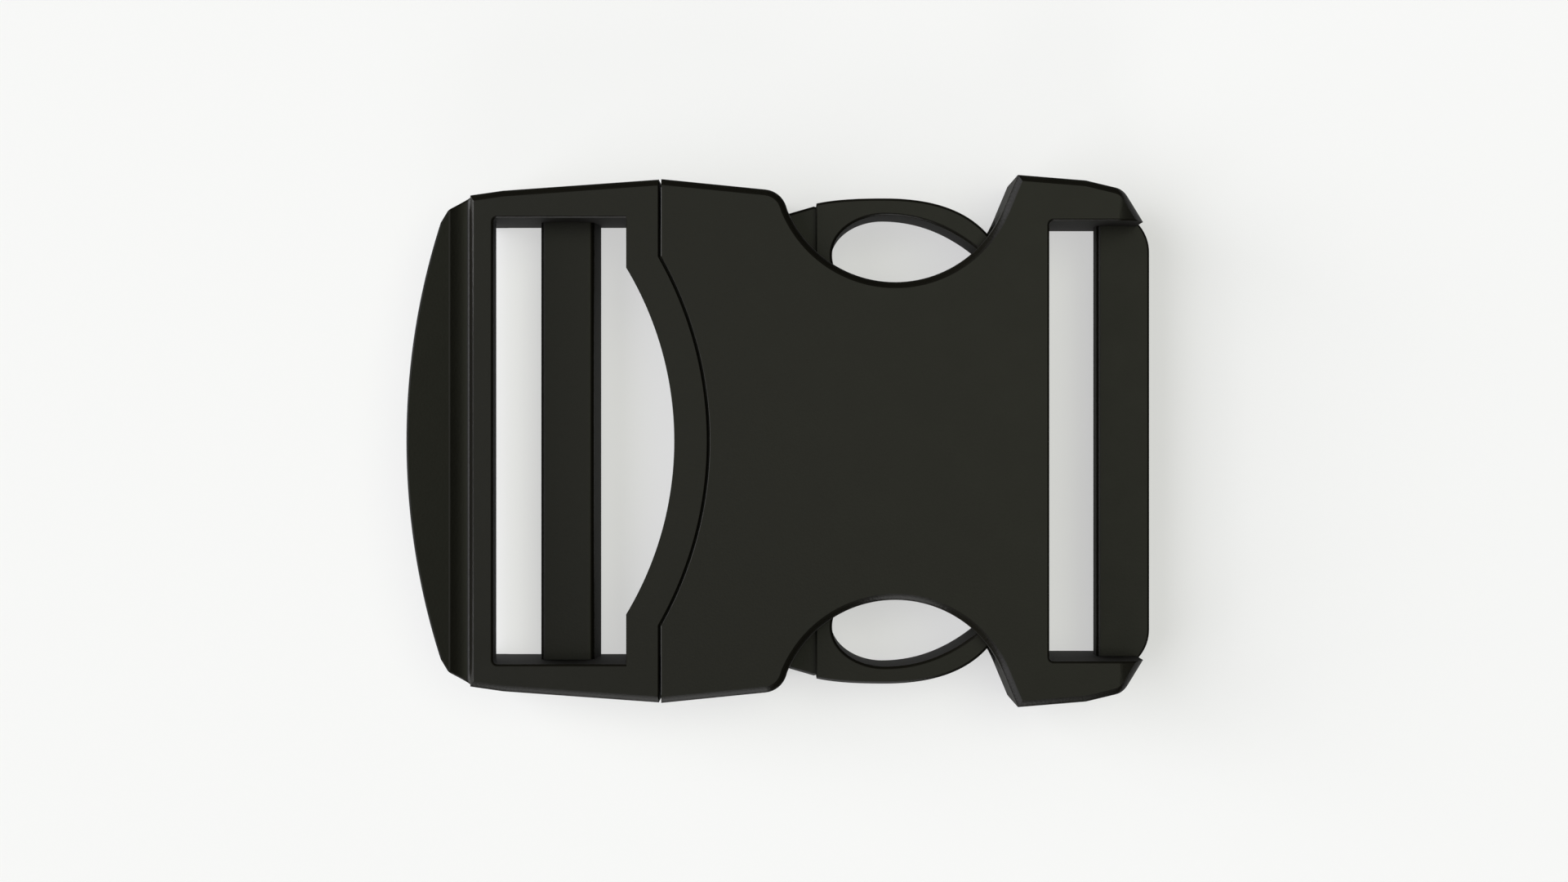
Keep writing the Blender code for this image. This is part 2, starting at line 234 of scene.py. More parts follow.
def rim(width):
    """(inset, height) pairs from the flat face down over the rim to the side."""
    across = sum(length * math.cos(math.radians(tilt)) for tilt, length in RIM_FACETS)
    pairs = [(width, 0.0)]
    for tilt, length in RIM_FACETS:
        facet = width * length / across
        inward, down = pairs[-1]
        inward -= facet * math.cos(math.radians(tilt))
        pairs.append((inward, down + facet * math.sin(math.radians(tilt))))
    return pairs


print("a rim 1 mm wide, in and down:", [(round(i, 2), round(down, 2)) for i, down in rim(1.0)])

# %% Skin rings into a solid
def new_piece(name, shape):
    """An object from a bmesh, in the scene, with its faces looking outwards."""
    bmesh.ops.recalc_face_normals(shape, faces=shape.faces)
    mesh = bpy.data.meshes.new(name)
    shape.to_mesh(mesh)
    shape.free()
    made = bpy.data.objects.new(name, mesh)
    bpy.context.scene.collection.objects.link(made)
    return made


def loft(name, rings):
    """A closed solid skinned over rings of (x, y, z) points, in millimetres."""
    shape = bmesh.new()
    loops = [[shape.verts.new(Vector(point) * MM) for point in ring] for ring in rings]
    for lower, upper in zip(loops, loops[1:]):
        for index in range(len(lower)):
            shape.faces.new((lower[index - 1], lower[index], upper[index], upper[index - 1]))
    shape.faces.new(list(reversed(loops[0])))
    shape.faces.new(loops[-1])
    print(name, "lofted from", len(rings), "rings")
    return new_piece(name, shape)


# %% Make a plate with rims
def along_edges(outline, rule):
    """A number for each edge of an outline. The rule is one number, or gives it at (x, y)."""
    ends = zip(outline, outline[1:] + outline[:1])
    middles = [((x + next_x) / 2, (y + next_y) / 2) for (x, y), (next_x, next_y) in ends]
    return [rule(x, y) if callable(rule) else rule for x, y in middles]


def slab(name, outline, low, high, rim_radius):
    """A plate between two heights, with a rim radius that may change from edge to edge."""
    radii = along_edges(outline, rim_radius)
    rims = [rim(radius) for radius in radii]
    # A point between two edges takes its heights from the wider rim.
    tallest = [rim(max(radii[index - 1], radii[index])) for index in range(len(radii))]
    levels = []
    for face, direction in ((low, 1.0), (high, -1.0)):
        rings = []
        for step in range(len(RIM_FACETS) + 1):
            flat = inset(outline, [edge[step][0] for edge in rims])
            heights = [face + direction * point[step][1] for point in tallest]
            rings.append([(x, y, z) for (x, y), z in zip(flat, heights)])
        levels += rings if direction > 0 else list(reversed(rings))
    return loft(name, levels)


# %% [markdown]
# Holes are made by taking away a solid of the hole's shape, flared at both ends so that the hole's
# rims come out round. Bars are drawn from the side, and run across the buckle. Booleans then cut,
# trim and join: the exact solver is slower than the fast one, but it leaves the meshes closed.

# %% Make cutters and bars
OVERSHOOT = 1.0  # cutters run this far past the plastic, so that no skin is left over


def through_cutter(name, outline, low, high, flare):
    """A cutter for a hole right through, flared at both faces so that the hole's rims are round."""
    flares = along_edges(outline, flare)
    widest = max(flares)
    shares = rim(widest)
    steps = [(widest, low - OVERSHOOT)]
    steps += [(out, low + height) for out, height in shares]
    steps += [(out, high - height) for out, height in reversed(shares)]
    steps += [(widest, high + OVERSHOOT)]
    rings = []
    for out, z in steps:
        outwards = [-out * edge_flare / widest for edge_flare in flares]
        rings.append([(x, y, z) for x, y in inset(outline, outwards)])
    return loft(name, rings)


def bar(name, section, half_length):
    """A bar with an XZ section, running along Y to half_length on each side."""
    return loft(name, [[(x, y, z) for x, z in section] for y in (-half_length, half_length)])


# %% Cut and join pieces
def combine(piece, tool, operation):
    """Cut, trim or join a piece with another one, which is used up."""
    step = piece.modifiers.new(tool.name, "BOOLEAN")
    step.operation = operation
    step.solver = "EXACT"
    step.object = tool
    shown = piece.evaluated_get(bpy.context.evaluated_depsgraph_get())
    result = bpy.data.meshes.new_from_object(shown)
    piece.modifiers.clear()
    piece.data = result
    bpy.data.objects.remove(tool)
    print(piece.name, operation.lower(), "->", len(result.vertices), "points")


# %% [markdown]
# Some faces aren't level, such as the lift tab's. They are made flat and then draped: the mesh is cut
# across at many stations, and its points are lifted to a curve, as cloth is laid over a form.

# %% Drape a flat piece over a curve
BISECT_REACH = 1e-7  # in metres: a point this close to a cut lies on it


def drape(piece, stations, middle, lift_top, lift_under):
    """Cut a piece at x stations, then lift what is above the middle height, and what is below it."""
    shape = bmesh.new()
    shape.from_mesh(piece.data)
    for x in stations:
        everything = list(shape.verts) + list(shape.edges) + list(shape.faces)
        bmesh.ops.bisect_plane(
            shape, geom=everything, dist=BISECT_REACH, plane_co=(x * MM, 0, 0), plane_no=(1, 0, 0)
        )
    for point in shape.verts:
        lift = lift_top if point.co.z > middle * MM else lift_under
        point.co.z += lift(point.co.x / MM) * MM
    shape.to_mesh(piece.data)
    shape.free()


def no_lift(x):
    """For a side of a draped piece that stays flat."""
    return 0.0


# %% [markdown]
# ## The socket
# The socket is one box-like moulding: two flat plates joined by a collar at the mouth, a wall at the
# rear and two ribs that guide the plug's tongue. Round thumb cut-outs open both sides. Behind it two
# rails hold the strap bar. The plan outline is drawn once and lofted. Then the hollow and the strap
# slot are cut and the bar is joined with exact Booleans, which keep the meeting lines crisp.

# %% Draw the socket's outline
part_gap = 0.3
mouth_land, seam_half, seam_rise = 1.0, 21.5, 5.7
collar_length, collar_taper, collar_wall, nose_length, nose_round = 13.7, 1.4, 5.0, 1.0, 2.8
thumb_radius, thumb_sweep, thumb_outside = 13.6, 134.5, 1.6
rear_corner_length, shoulder_length, shoulder_drop = 4.5, 4.3, 0.65
end_taper, end_lead, end_round = 1.2, 4.0, 2.4
rail_corner_length, bar_corner_length, end_corner_round = 7.1, 6.3, 5.0
strap_slot_length = 6.35

half_width = ring_high.y
socket_face, socket_end = shell_low.x, shell_high.x
socket_height = shell_high.z
collar_end = socket_face + collar_length
thumb_half = thumb_radius * math.sin(math.radians(thumb_sweep / 2))
thumb_x = collar_end + nose_length + thumb_half
slot_left = strap_bar_low.x - strap_slot_length


def socket_outline(corner_length):
    """Curved mouth, collar, thumb cut-outs, shoulders and rounded ends."""
    start = 270.0 - thumb_sweep / 2
    centre = (thumb_x, half_width + thumb_outside)
    cut_out = arc(centre, thumb_radius, start, start + thumb_sweep)
    leaving = math.radians(start + thumb_sweep)
    corner_x = cut_out[-1][0] - rear_corner_length * math.sin(leaving)
    corner_y = cut_out[-1][1] + rear_corner_length * math.cos(leaving)
    left_side = [(socket_face, half_width - mouth_land, 0.0), (socket_face, half_width, 0.0)]
    left_side.append((collar_end + part_gap, half_width - collar_taper, nose_round))
    left_side += sharp(cut_out)
    left_side.append((corner_x, corner_y, 0.0))
    left_side.append((slot_left + shoulder_length, corner_y - shoulder_drop, 0.0))
    left_side.append((socket_end - end_lead, half_width - end_taper, end_round))
    left_side.append((socket_end, half_width - corner_length, end_corner_round))
    return rounded(both_sides(left_side) + sharp(swelling(socket_face, seam_half, seam_rise)))


socket_places = [round(x, 2) for x in (socket_face, thumb_x, socket_end)]
print("mouth, middle of the cut-outs and end at x:", socket_places)

# %% [markdown]
# The rims aren't equal all round. They are wide on the sides, where hands rub, and fine along the
# mouth, where the plug has to meet the socket flush. The rails' top runs down to their rounded ends.

# %% Loft the socket's body
NEAR = 0.01  # a point this close to a line counts as lying on it
socket_rim, seam_rim, seam_arc_rim = 0.75, 0.07, 0.03
rail_slope_length, rail_slope_drop, rail_slope_curve, slope_cuts = 4.5, 1.9, 1.25, 12
slope_start = socket_end - rail_slope_length


def socket_rim_at(x, y):
    """The rim is wide round the sides, fine along the seam and almost sharp on its arc."""
    if x < collar_end and abs(y) < seam_half:
        return seam_arc_rim
    return seam_rim if x < socket_face + NEAR else socket_rim


def rail_slope(x):
    """How far the rails' top lies under the plate, running down to their rounded ends."""
    past = max(0.0, x - slope_start) / rail_slope_length
    return -rail_slope_drop * past**rail_slope_curve


body_outline = socket_outline(rail_corner_length)
socket = slab("socket_moulding", body_outline, 0.0, socket_height, socket_rim_at)
slope_steps = [rail_slope_length * step / slope_cuts for step in range(slope_cuts)]
slope_stations = [slope_start + NEAR + step for step in slope_steps]
drape(socket, slope_stations, socket_height / 2, rail_slope, no_lift)
print("socket body:", len(socket.data.vertices), "points")

# %% [markdown]
# The hollow is one cutter: the collar's slot, wide open at both sides behind it, and the rear
# chamber with the two guide ribs left standing. Moulders core it out from the mouth and the sides.

# %% Core out the socket
plate_thickness, rear_wall = 2.3, 2.5
rib_thickness, rib_clearance, rib_from_collar = 1.5, 0.4, 2.8
cavity_corner, rib_root_corner, cavity_rim = 1.2, 0.4, 0.25
cavity_half = half_width - collar_wall
cavity_rear = slot_left - rear_wall
cavity_top = socket_height - plate_thickness


def cavity_outline():
    """The hollow between the plates, round the ribs."""
    rib_inner = tongue_high.y + rib_clearance
    rib_outer = rib_inner + rib_thickness
    rib_x = collar_end + rib_from_collar
    beyond = half_width + 3 * OVERSHOOT
    rear_side_x = thumb_x + thumb_half
    left_side = [
        (socket_face - OVERSHOOT, cavity_half, 0.0),
        (collar_end, cavity_half, 0.0),
        (collar_end, beyond, 0.0),
        (rear_side_x, beyond, 0.0),
        (rear_side_x, cavity_half, 0.0),
        (cavity_rear, cavity_half, cavity_corner),
        (cavity_rear, rib_outer, rib_root_corner),
        (rib_x, rib_outer, rib_thickness / 3),
        (rib_x, rib_inner, rib_thickness / 3),
        (cavity_rear, rib_inner, rib_root_corner),
    ]
    return rounded(both_sides(left_side))


hollow = slab("hollow", cavity_outline(), plate_thickness, cavity_top, cavity_rim)
combine(socket, hollow, "DIFFERENCE")

# %% [markdown]
# The strap slot is open towards the end, where the strap bar closes it. The bar is lower than the
# plates, so that the webbing's fold lies flush. Its section has generous radii, because an edge
# would saw through the strap.

# %% Cut the strap slot
hole_rim, hole_corner = 0.25, 0.5
socket_slot_half = strap_bar_high.y + part_gap
past_end = socket_end + OVERSHOOT
slot_side = [(slot_left, socket_slot_half, hole_corner), (past_end, socket_slot_half, 0.0)]
slot_corners = both_sides(slot_side)
slot_cutter = through_cutter("strap_slot", rounded(slot_corners), 0.0, socket_height, hole_rim)
drape(slot_cutter, slope_stations, socket_height / 2, rail_slope, no_lift)
combine(socket, slot_cutter, "DIFFERENCE")

# %% Set the strap bar between the rails
bar_height, bar_rim = strap_bar_high.z, 0.55
bar_foot_setback, bar_belly, bar_foot_round, bar_embed = 0.9, 0.6, 0.8, 0.15
strap_bar_section = [
    (strap_bar_low.x + bar_foot_setback, 0.0, bar_foot_round),
    (strap_bar_low.x, bar_height * bar_belly, bar_foot_round),
    (strap_bar_low.x, bar_height, bar_rim),
    (past_end, bar_height, 0.0),
    (past_end, 0.0, 0.0),
]
strap_bar = bar("strap_bar", rounded(strap_bar_section), socket_slot_half + bar_embed)
bar_trim = slab("bar_trim", socket_outline(bar_corner_length), 0.0, bar_height, hole_rim)
combine(strap_bar, bar_trim, "INTERSECT")
combine(socket, strap_bar, "UNION")
rail_end_height = socket_height - rail_slope_drop
print("strap bar and rails' end heights:", round(bar_height, 2), round(rail_end_height, 2))

# %% [markdown]
# ## The plug
# The plug's ring is two rails, a curved front bar that fits the socket's mouth, and a thin outer bar.
# Between them the ladder bar lies low: the webbing goes down one slot, under it and up the next, so
# that a pull on the strap clamps it. The lift tab at the end frees the strap again.

# %% Loft the plug's ring
seam_gap, plug_seam_rim, crease_rim = 0.3, 0.12, 0.45
front_bar_width, outer_bar_width = 3.8, 2.7
side_taper, corner_taper, side_turn_length = 1.3, 0.55, 1.1

plug_face = socket_face - seam_gap
plug_slot_end = plug_face - front_bar_width
plug_slot_half = ladder_high.y + part_gap
outer_bar_left = ring_low.x
outer_bar_right = outer_bar_left + outer_bar_width
corner_half = half_width - side_taper - corner_taper
plug_height = ring_high.z


def ring_rim_at(x, y):
    """Wide along the rails, finer over the lift tab, and finest along the seam."""
    if x > plug_face - NEAR:
        return plug_seam_rim
    return crease_rim if x < outer_bar_left + NEAR else socket_rim


ring_side = [
    (plug_face, half_width - mouth_land, 0.0),
    (plug_face, half_width, 0.0),
    (outer_bar_right + side_turn_length, half_width - side_taper, 0.0),
    (outer_bar_left, corner_half, 0.0),
]
ring_outline = rounded(both_sides(ring_side) + sharp(swelling(plug_face, seam_half, seam_rise)))
plug = slab("plug_moulding", ring_outline, 0.0, plug_height, ring_rim_at)
ring_widths = [round(2 * half, 2) for half in (half_width, corner_half)]
print("ring width at the seam and at the lift tab:", ring_widths)

# %% [markdown]
# One window goes right through the ring, and the ladder bar will divide it. Its front end follows
# the curve of the seam. Under the outer bar a wedge is cut away, which leaves a lip at the top that
# the webbing bends over.

# %% Cut the ring's window
slot_arc_half, slot_rise = 20.2, 5.6


def window_rim_at(x, y):
    """Rounded where the webbing runs over it, almost sharp on the curved front bar."""
    return hole_rim / 4 if x > plug_slot_end - NEAR else hole_rim


window_side = [(plug_slot_end, plug_slot_half, 0.0), (outer_bar_right, plug_slot_half, hole_corner)]
window_outline = rounded(
    both_sides(window_side) + sharp(swelling(plug_slot_end, slot_arc_half, slot_rise))
)
window = through_cutter("window", window_outline, 0.0, plug_height, window_rim_at)
combine(plug, window, "DIFFERENCE")

# %% Undercut the outer bar
outer_bar_lip, outer_bar_underside, outer_bar_undercut = 1.2, 2.8, 1.6
undercut_overrun, undercut_round = 0.6, 0.4

lip_z = plug_height - outer_bar_lip
undercut = [
    (outer_bar_right + undercut_overrun, lip_z + undercut_overrun, 0.0),
    (outer_bar_right - outer_bar_undercut, outer_bar_underside, undercut_round),
    (outer_bar_left - OVERSHOOT, outer_bar_underside, 0.0),
    (outer_bar_left - OVERSHOOT, -OVERSHOOT, 0.0),
    (outer_bar_right + undercut_overrun, -OVERSHOOT, 0.0),
]
combine(plug, bar("undercutter", rounded(undercut), plug_slot_half), "DIFFERENCE")

# %% [markdown]
# The lift tab is a thin tongue that rises outwards, with a shallow finger groove along its root. It
# is lofted flat, with its rims, and then draped: its upper skin follows one curve and its lower
# skin another, so the rims keep their true radius all along.

# %% Curve the lift tab's two skins
groove_width, groove_steepness, groove_fillet, crease_land = 2.55, 0.47, 0.35, 0.2
groove_lift, groove_power, fillet_from = 1.2, 3.5, 0.75
tab_crease_top, tab_root_underside, tab_tip_thickness = 11.9, 8.0, 1.54
crease_x = outer_bar_left - groove_width
tab_tip = tab_low.x
tab_slope = (tab_high.z - tab_crease_top) / (crease_x - tab_tip)


def tab_top(x):
    """Height of the tab's upper skin: a rising flat, a narrow land, and the finger groove."""
    if x <= crease_x + crease_land:
        return tab_high.z - tab_slope * (min(x, crease_x) - tab_tip)
    along = min(1.0, (x - crease_x - crease_land) / (groove_width - crease_land))
    fallen = along - groove_lift * along**groove_power / groove_power
    level = tab_crease_top - groove_steepness * groove_width * fallen
    return level + groove_fillet * max(0.0, (along - fillet_from) / (1 - fillet_from)) ** 2


def tab_under(x):
    """Height of the tab's lower skin, which thickens towards the outer bar."""
    along = min(1.0, max(0.0, (x - tab_tip) / (outer_bar_left - tab_tip)))
    tip_under = tab_high.z - tab_tip_thickness
    return tip_under + (tab_root_underside - tip_under) * along


tab_heights = [round(tab_top(x), 2) for x in (tab_tip, crease_x, outer_bar_left)]
print("tab's top at its tip, crease and root:", tab_heights)

# %% Loft the lift tab and drape it
tab_arc_radius, tab_corner_length, tab_corner_taper = 88.0, 2.6, 1.7
tab_corner_round, tab_edge_setback, tab_sink, tab_embed = 1.0, 1.5, 0.05, 1.2
tab_rim, tab_half, tip_cuts, groove_cuts = 0.22, 1.0, 4, 20

tab_corner_y = corner_half - tab_corner_taper
tab_spread = math.degrees(math.asin((tab_corner_y - tab_edge_setback) / tab_arc_radius))
tab_edge = arc((tab_tip + tab_arc_radius, 0.0), tab_arc_radius, 180 + tab_spread, 180 - tab_spread)
tab_side = [
    (outer_bar_left - tab_corner_length, tab_corner_y, tab_corner_round),
    (outer_bar_left + tab_sink, corner_half - tab_sink, 0.0),
    (outer_bar_left + tab_embed, corner_half - tab_sink, 0.0),
]
tab_outline = rounded(both_sides(tab_side) + sharp(tab_edge))
tab = slab("lift_tab", tab_outline, -tab_half, tab_half, tab_rim)
groove_start = crease_x + crease_land
groove_run = groove_width - crease_land
tab_stations = [tab_tip + (crease_x - tab_tip) * step / tip_cuts for step in range(1, tip_cuts)]
tab_stations.append(crease_x)
tab_stations += [groove_start + groove_run * step / groove_cuts for step in range(groove_cuts + 1)]
drape(tab, tab_stations, 0.0, lambda x: tab_top(x) - tab_half, lambda x: tab_under(x) + tab_half)
combine(plug, tab, "UNION")

# %% [markdown]
# Three more members join the ring. A short spigot enters the socket's mouth and closes the seam to
# dirt. The ladder bar crosses the window, lower than the rails. The guide tongue runs on between the
# socket's ribs, and keeps the plug straight while the latches snap.

# %% Add the spigot that enters the socket's mouth
spigot_reach, spigot_embed, spigot_corner, spigot_rim = 1.3, 1.0, 0.4, 0.3
spigot_low, spigot_high = loop_low.z, loop_high.z
spigot_half = cavity_half - part_gap
spigot_front = plug_face + spigot_reach
spigot_root = plug_face - spigot_embed
spigot_corners = sharp(swelling(spigot_front, seam_half, seam_rise))
spigot_corners += [(spigot_front, spigot_half, spigot_corner), (spigot_root, spigot_half, 0.0)]
spigot_corners += sharp(reversed(swelling(spigot_root, seam_half, seam_rise)))
spigot_corners += [(spigot_root, -spigot_half, 0.0), (spigot_front, -spigot_half, spigot_corner)]
spigot = slab("spigot", rounded(spigot_corners), spigot_low, spigot_high, spigot_rim)
combine(plug, spigot, "UNION")

# %% Join the ladder bar
ladder_lean, ladder_extra, ladder_embed = 0.6, 0.4, 0.6
ladder_foot_round, ladder_far_round = 0.8, 0.7
ladder_right = ladder_high.x + ladder_extra
ladder_section = [
    (ladder_low.x, ladder_low.z, ladder_foot_round),
    (ladder_low.x, ladder_high.z, bar_rim),
    (ladder_right - ladder_lean, ladder_high.z, ladder_far_round),
    (ladder_right, ladder_low.z, ladder_foot_round),
]
combine(plug, bar("ladder_bar", rounded(ladder_section), plug_slot_half + ladder_embed), "UNION")

# %% Join the guide tongue
tongue_root_flare, tongue_root_length, tongue_root_round = 1.6, 2.4, 3.0
tongue_embed, tongue_knee, tongue_knee_share = 1.5, 0.1, 0.7
tongue_tip_length, tongue_tip_taper = 3.0, 1.6
tongue_bend_round, tongue_tip_round, tongue_rim = 1.5, 0.8, 0.4
tongue_half = tongue_high.y
tongue_side = [
    (ring_high.x - tongue_embed, tongue_half + tongue_root_flare, 0.0),
    (ring_high.x + tongue_knee, tongue_half + tongue_root_flare * tongue_knee_share, 0.0),
    (ring_high.x + tongue_root_length, tongue_half, tongue_root_round),
    (tongue_high.x - tongue_tip_length, tongue_half, tongue_bend_round),
    (tongue_high.x, tongue_half - tongue_tip_taper, tongue_tip_round),
]
tongue_outline = rounded(both_sides(tongue_side))
tongue = slab("guide_tongue", tongue_outline, tongue_low.z, tongue_high.z, tongue_rim)
combine(plug, tongue, "UNION")

# %% [markdown]
# ## The latch arms
# Two springy arms grow from the plug's front bar, just inside its rails. Each runs through the
# collar, hooks behind it with a shoulder, and ends in a thumb loop that fills the cut-out. Squeeze
# the loops and the shoulders come free. Each arm is its own piece here, cut across at stations
# along its length.

# %% Draw a latch arm
arm_thickness, arm_flare, arm_flare_length, outer_flare = 3.4, 1.1, 1.8, 0.2
root_embed, root_face_gap, outer_flare_share = 0.8, 0.05, 0.6
latch_reach, head_flare, head_lean, heel, loop_embed = 1.4, 1.1, 0.2, 0.7, 0.8
hook_inner_round, hook_outer_round, root_round, spring_round = 0.3, 0.35, 1.0, 2.0
arm_outer = cavity_half - part_gap
arm_inner = arm_outer - arm_thickness
latch_x = collar_end + part_gap


def arm_outline():
    """A flared root inside the front bar, a straight spring, and the hooked head."""
    root, face = plug_face - root_embed, plug_face + root_face_gap
    head_end = arm_high.x + loop_embed
    outline = [
        (root, arm_inner - arm_flare, 0.0),
        (root, arm_outer + outer_flare, 0.0),
        (face, arm_outer + outer_flare, 0.0),
        (plug_face + arm_flare_length * outer_flare_share, arm_outer, root_round),
        (latch_x, arm_outer, hook_inner_round),
        (latch_x, arm_outer + latch_reach, hook_outer_round),
        (arm_high.x, arm_outer + latch_reach + head_flare, 0.0),
        (head_end, arm_outer + latch_reach + head_flare - head_lean, 0.0),
        (head_end, arm_inner - heel, 0.0),
        (arm_high.x, arm_inner - heel, 0.0),
        (latch_x - arm_thickness / 2, arm_inner, spring_round),
        (plug_face + arm_flare_length, arm_inner, spring_round),
        (face, arm_inner - arm_flare, 0.0),
    ]
    return rounded(outline)


print("arm from, to and latch at x:", [round(x, 2) for x in (plug_face, arm_high.x, latch_x)])

# %% [markdown]
# A thumb loop is a teardrop: blunt against the arm, and drawn out to a tip at the rear, with an
# opening of the same kind. Four Bezier curves go round it, from the shoulder over the crest to the
# tip, and back under the belly to the heel. Each pull below is the length of a curve's handle.

# %% Draw a thumb loop
loop_left, loop_tip, loop_crest_y = loop_low.x, loop_high.x, loop_high.y
loop_crest_length, loop_depth, loop_tip_drop, shoulder_fall = 8.0, 13.4, 6.7, 0.6
crest_pull, tip_pull_out, shoulder_pull, shoulder_pull_fall = 6.0, (2.6, 5.2), 0.3, 0.06
tip_pull_under, belly_pull, belly_share, heel_share, heel_rise = (4.0, 4.8), 5.5, 0.5, 0.2, 0.4
crest_x = loop_left + loop_crest_length
loop_bottom = loop_crest_y - loop_depth
tip_y = loop_crest_y - loop_tip_drop


def loop_outline():
    """The thumb pad: flat against the arm, and drawn out to a tip at the rear."""
    top, reach = loop_crest_y, crest_x - loop_left
    crest, bottom, tip = (crest_x, top), (crest_x, loop_bottom), (loop_tip, tip_y)
    heel_y = loop_bottom + loop_depth / 3
    outline = bezier(
        (loop_left, top - shoulder_fall),
        (loop_left + reach * shoulder_pull, top - shoulder_pull_fall),
        (crest_x - reach * shoulder_pull, top),
        crest,
    )
    past_tip = (loop_tip - tip_pull_out[0], tip_y + tip_pull_out[1])
    outline += bezier(crest, (crest_x + crest_pull, top), past_tip, tip)
    under_tip = (loop_tip - tip_pull_under[0], tip_y - tip_pull_under[1])
    outline += bezier(tip, under_tip, (crest_x + belly_pull, loop_bottom), bottom)
    outline += bezier(
        bottom,
        (crest_x - reach * belly_share, loop_bottom),
        (loop_left + reach * heel_share, loop_bottom + (heel_y - loop_bottom) * heel_rise),
        (loop_left, heel_y),
    )
    return outline + [(loop_left, heel_y)]


print("points round a thumb loop:", len(loop_outline()))

# %% Draw the opening in a thumb loop
loop_wall, head_wall_share, opening_share, opening_reach = 2.0, 0.92, 0.3, 0.5
opening_right, opening_tip_out, opening_tip_under = 4.4, (3.6, 3.1), (3.6, 3.3)


def opening_outline():
    """The opening in the pad: a half oval by the arm, and a point at the rear."""
    left, tip_x = loop_left + loop_wall * head_wall_share, loop_tip - loop_wall
    top, bottom = loop_crest_y - loop_wall, loop_bottom + loop_wall
    middle, rise = (top + bottom) / 2, (top - bottom) * opening_share
    reach, right = (crest_x - left) * opening_reach, crest_x + opening_right
    start, crest, belly, tip = (left, middle), (crest_x, top), (crest_x, bottom), (tip_x, tip_y)
    past_tip = (tip_x - opening_tip_out[0], tip_y + opening_tip_out[1])
    under_tip = (tip_x - opening_tip_under[0], tip_y - opening_tip_under[1])
    outline = bezier(start, (left, middle + rise), (left + reach, top), crest)
    outline += bezier(crest, (right, top), past_tip, tip)
    outline += bezier(tip, under_tip, (right, bottom), belly)
    return outline + bezier(belly, (left + reach, bottom), (left, middle - rise), start)


print("points round its opening:", len(opening_outline()))

# %% Build both arms
loop_rim, arm_rim, head_step = 0.3, 0.3, 0.7
bend_cuts, bend_first, bend_spacing = 18, 0.6, 0.75


def pad_rim_at(x, y):
    """Round where a finger presses, sharper where the pad stands up from the arm's head."""
    return loop_rim / 4 if x < loop_left + NEAR else loop_rim


bend_stations = [plug_face + bend_first + bend_spacing * step for step in range(bend_cuts)]
arms = {}
for side, sign in (("left", 1.0), ("right", -1.0)):
    arm_points = [(x, sign * y) for x, y in arm_outline()]
    pad_points = [(x, sign * y) for x, y in loop_outline()]
    opening_points = [(x, sign * y) for x, y in opening_outline()]
    arm = slab(side + "_arm_moulding", arm_points, arm_low.z, arm_high.z - head_step, arm_rim)
    drape(arm, bend_stations, 0.0, no_lift, no_lift)
    pad = slab(side + "_pad", pad_points, loop_low.z, loop_high.z, pad_rim_at)
    opening = through_cutter(side + "_opening", opening_points, loop_low.z, loop_high.z, loop_rim)
    combine(pad, opening, "DIFFERENCE")
    combine(arm, pad, "UNION")
    arms[side] = arm
print("arm's and loop's tops at:", round(arm_high.z - head_step, 2), round(loop_high.z, 2))

# %% [markdown]
# ## Surface shading
# Flats should shade flat and rims should shade round. Smooth shading alone would smear the rims'
# normals over the flats, so a Weighted Normal modifier lets the big faces win, and edges that turn
# by more than the crease angle stay crisp. Slivers that the Booleans leave are welded first.

# %% Clean up and smooth the mouldings
CREASE_ANGLE = 17.5
WELD = 0.004  # finer than anything a mould maker can cut


def tidy_surface(piece):
    """Weld slivers, keep real edges crisp, and weight the normals by face area."""
    shape = bmesh.new()
    shape.from_mesh(piece.data)
    bmesh.ops.remove_doubles(shape, verts=shape.verts, dist=WELD * MM)
    bmesh.ops.dissolve_degenerate(shape, edges=shape.edges, dist=WELD * MM)
    open_edges = sum(1 for edge in shape.edges if len(edge.link_faces) != 2)
    shape.to_mesh(piece.data)
    shape.free()
    piece.data.shade_smooth()
    piece.data.set_sharp_from_angle(angle=math.radians(CREASE_ANGLE))
    weighting = piece.modifiers.new("flat_faces_first", "WEIGHTED_NORMAL")
    weighting.keep_sharp = True
    print(piece.name, "faces:", len(piece.data.polygons), "open edges:", open_edges)


for piece in (socket, plug, *arms.values()):
    tidy_surface(piece)

# %% [markdown]
# ## The plastic
# Side-release buckles are moulded in acetal (POM), a hard slippery plastic coloured right through
# with carbon black. The mould is spark-eroded, which leaves tiny overlapping pits, so the plastic
# comes out satin: no clear reflections, a soft sheen on flats, and a crisper glint on rims, where
# webbing and fingers polish the pits away.

# %% Turn colours to linear and add nodes
BLACKS = ("#100F0B", "#13120D")  # carbon black in a faintly brown resin, and where it is thinner


def linear(hex_colour):
    """A linear colour from an sRGB hex value, written with a # in front."""
    channels = [int(hex_colour[i : i + 2], 16) / 255 for i in (1, 3, 5)]
    curve = [c / 12.92 if c <= 0.04045 else ((c + 0.055) / 1.055) ** 2.4 for c in channels]
    return (*curve, 1.0)


def add_node(tree, kind, settings=None, inputs=None):
    """A node of a kind, with its settings, and with its inputs set to values or linked."""
    node = tree.nodes.new(kind)
    for name, value in (settings or {}).items():
        setattr(node, name, value)
    for name, value in (inputs or {}).items():
        if isinstance(value, bpy.types.NodeSocket):
            tree.links.new(value, node.inputs[name])
        else:
            node.inputs[name].default_value = value
    return node


print("carbon black, linear:", [round(c, 4) for c in linear(BLACKS[0])])

# %% [markdown]
# The plastic is built in two steps. First comes the bare acetal on a Principled shader: a black
# that wanders a little between two tones, and the pits as a faint bump, because they are far too
# small to model. Then each surface gets the roughness that its making left.

